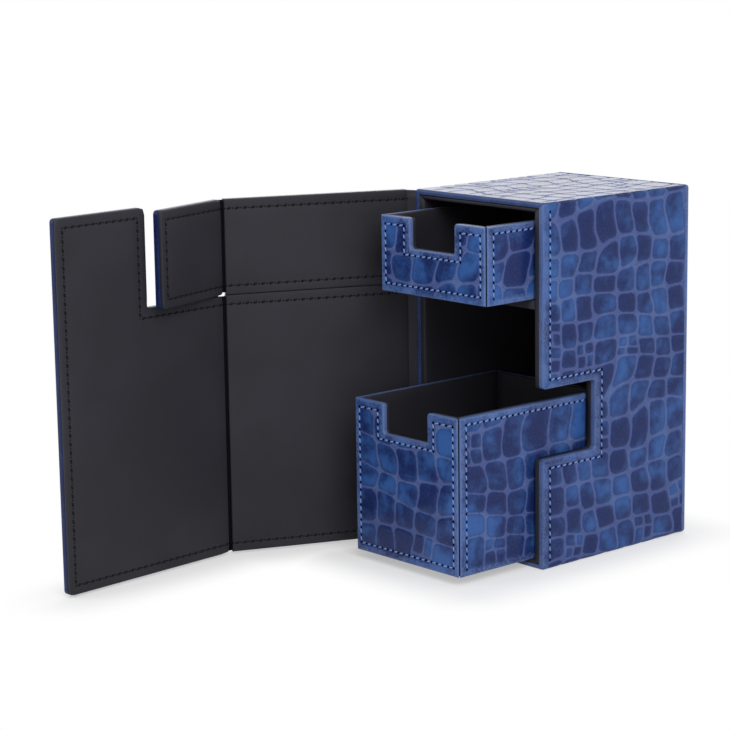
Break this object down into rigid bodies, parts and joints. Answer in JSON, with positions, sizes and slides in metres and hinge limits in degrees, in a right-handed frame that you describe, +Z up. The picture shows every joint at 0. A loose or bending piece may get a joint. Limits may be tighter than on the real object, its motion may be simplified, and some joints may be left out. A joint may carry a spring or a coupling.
{
  "type": "trading card drawer box",
  "caption": "Upright leather box with a deep card drawer, a shallow dice drawer above it and two stitched flaps that fold over the front and one side.",
  "frame": {"origin": "middle of the casing's footprint, on the surface it stands on", "axes": "+X to the right across the front, +Y from the open front to the back, +Z up"},
  "size_m": [0.1074, 0.2387, 0.144],
  "materials": {
    "croc_leather": "embossed crocodile grain, satin",
    "black_lining": "smooth matt lining",
    "magnet": "plated"
  },
  "bodies": {
    "casing": {"casing_back_cover": "croc_leather", "casing_back_lining": "black_lining", "casing_base_cover": "croc_leather", "casing_base_lining": "black_lining", "casing_left_cover": "croc_leather", "casing_left_lining": "black_lining", "casing_magnets": "magnet", "casing_right_cover": "croc_leather", "casing_right_lining": "black_lining", "casing_shelf": "black_lining", "casing_top_cover": "croc_leather", "casing_top_lining": "black_lining", "lower_hinge_leather": "croc_leather", "upper_hinge_leather": "croc_leather"},
    "card_drawer": {"card_drawer_back_cover": "croc_leather", "card_drawer_back_lining": "black_lining", "card_drawer_base": "black_lining", "card_drawer_base_lining": "black_lining", "card_drawer_front_cover": "croc_leather", "card_drawer_front_lining": "black_lining", "card_drawer_left_cover": "croc_leather", "card_drawer_left_lining": "black_lining", "card_drawer_right_cover": "croc_leather", "card_drawer_right_lining": "black_lining"},
    "dice_drawer": {"dice_drawer_back_cover": "croc_leather", "dice_drawer_back_lining": "black_lining", "dice_drawer_base": "black_lining", "dice_drawer_base_lining": "black_lining", "dice_drawer_front_cover": "croc_leather", "dice_drawer_front_lining": "black_lining", "dice_drawer_left_cover": "croc_leather", "dice_drawer_left_lining": "black_lining", "dice_drawer_right_cover": "croc_leather", "dice_drawer_right_lining": "black_lining"},
    "lower_flap_front": {"lower_flap_front_cover": "croc_leather", "lower_flap_front_lining": "black_lining", "lower_fold_leather": "croc_leather"},
    "lower_flap_side": {"lower_flap_magnets": "magnet", "lower_flap_side_cover": "croc_leather", "lower_flap_side_lining": "black_lining"},
    "upper_flap_front": {"upper_flap_front_cover": "croc_leather", "upper_flap_front_lining": "black_lining", "upper_fold_leather": "croc_leather"},
    "upper_flap_side": {"upper_flap_magnets": "magnet", "upper_flap_side_cover": "croc_leather", "upper_flap_side_lining": "black_lining"}
  },
  "joints": [
    {"name": "card_drawer_slide", "type": "slide", "parent": "casing", "child": "card_drawer", "axis": [0, -1, 0], "range_m": [-0.0395, 0.0205]},
    {"name": "dice_drawer_slide", "type": "slide", "parent": "casing", "child": "dice_drawer", "axis": [0, -1, 0], "range_m": [-0.0246, 0.0354]},
    {"name": "lower_flap_hinge", "type": "hinge", "parent": "casing", "child": "lower_flap_front", "pos_m": [-0.03795, -0.04326, 0], "axis": [0, 0, -1], "range_deg": [-28, 90], "deforming": ["lower_hinge_leather"]},
    {"name": "lower_flap_fold", "type": "hinge", "parent": "lower_flap_front", "child": "lower_flap_side", "pos_m": [-0.06836, -0.11455, 0], "axis": [0, 0, -1], "range_deg": [-62.3, 27.7], "deforming": ["lower_fold_leather"]},
    {"name": "upper_flap_hinge", "type": "hinge", "parent": "casing", "child": "upper_flap_front", "pos_m": [-0.03795, -0.04326, 0], "axis": [0, 0, -1], "range_deg": [-28, 90], "deforming": ["upper_hinge_leather"]},
    {"name": "upper_flap_fold", "type": "hinge", "parent": "upper_flap_front", "child": "upper_flap_side", "pos_m": [-0.06836, -0.11455, 0], "axis": [0, 0, -1], "range_deg": [-50.4, 39.6], "deforming": ["upper_fold_leather"]}
  ]
}
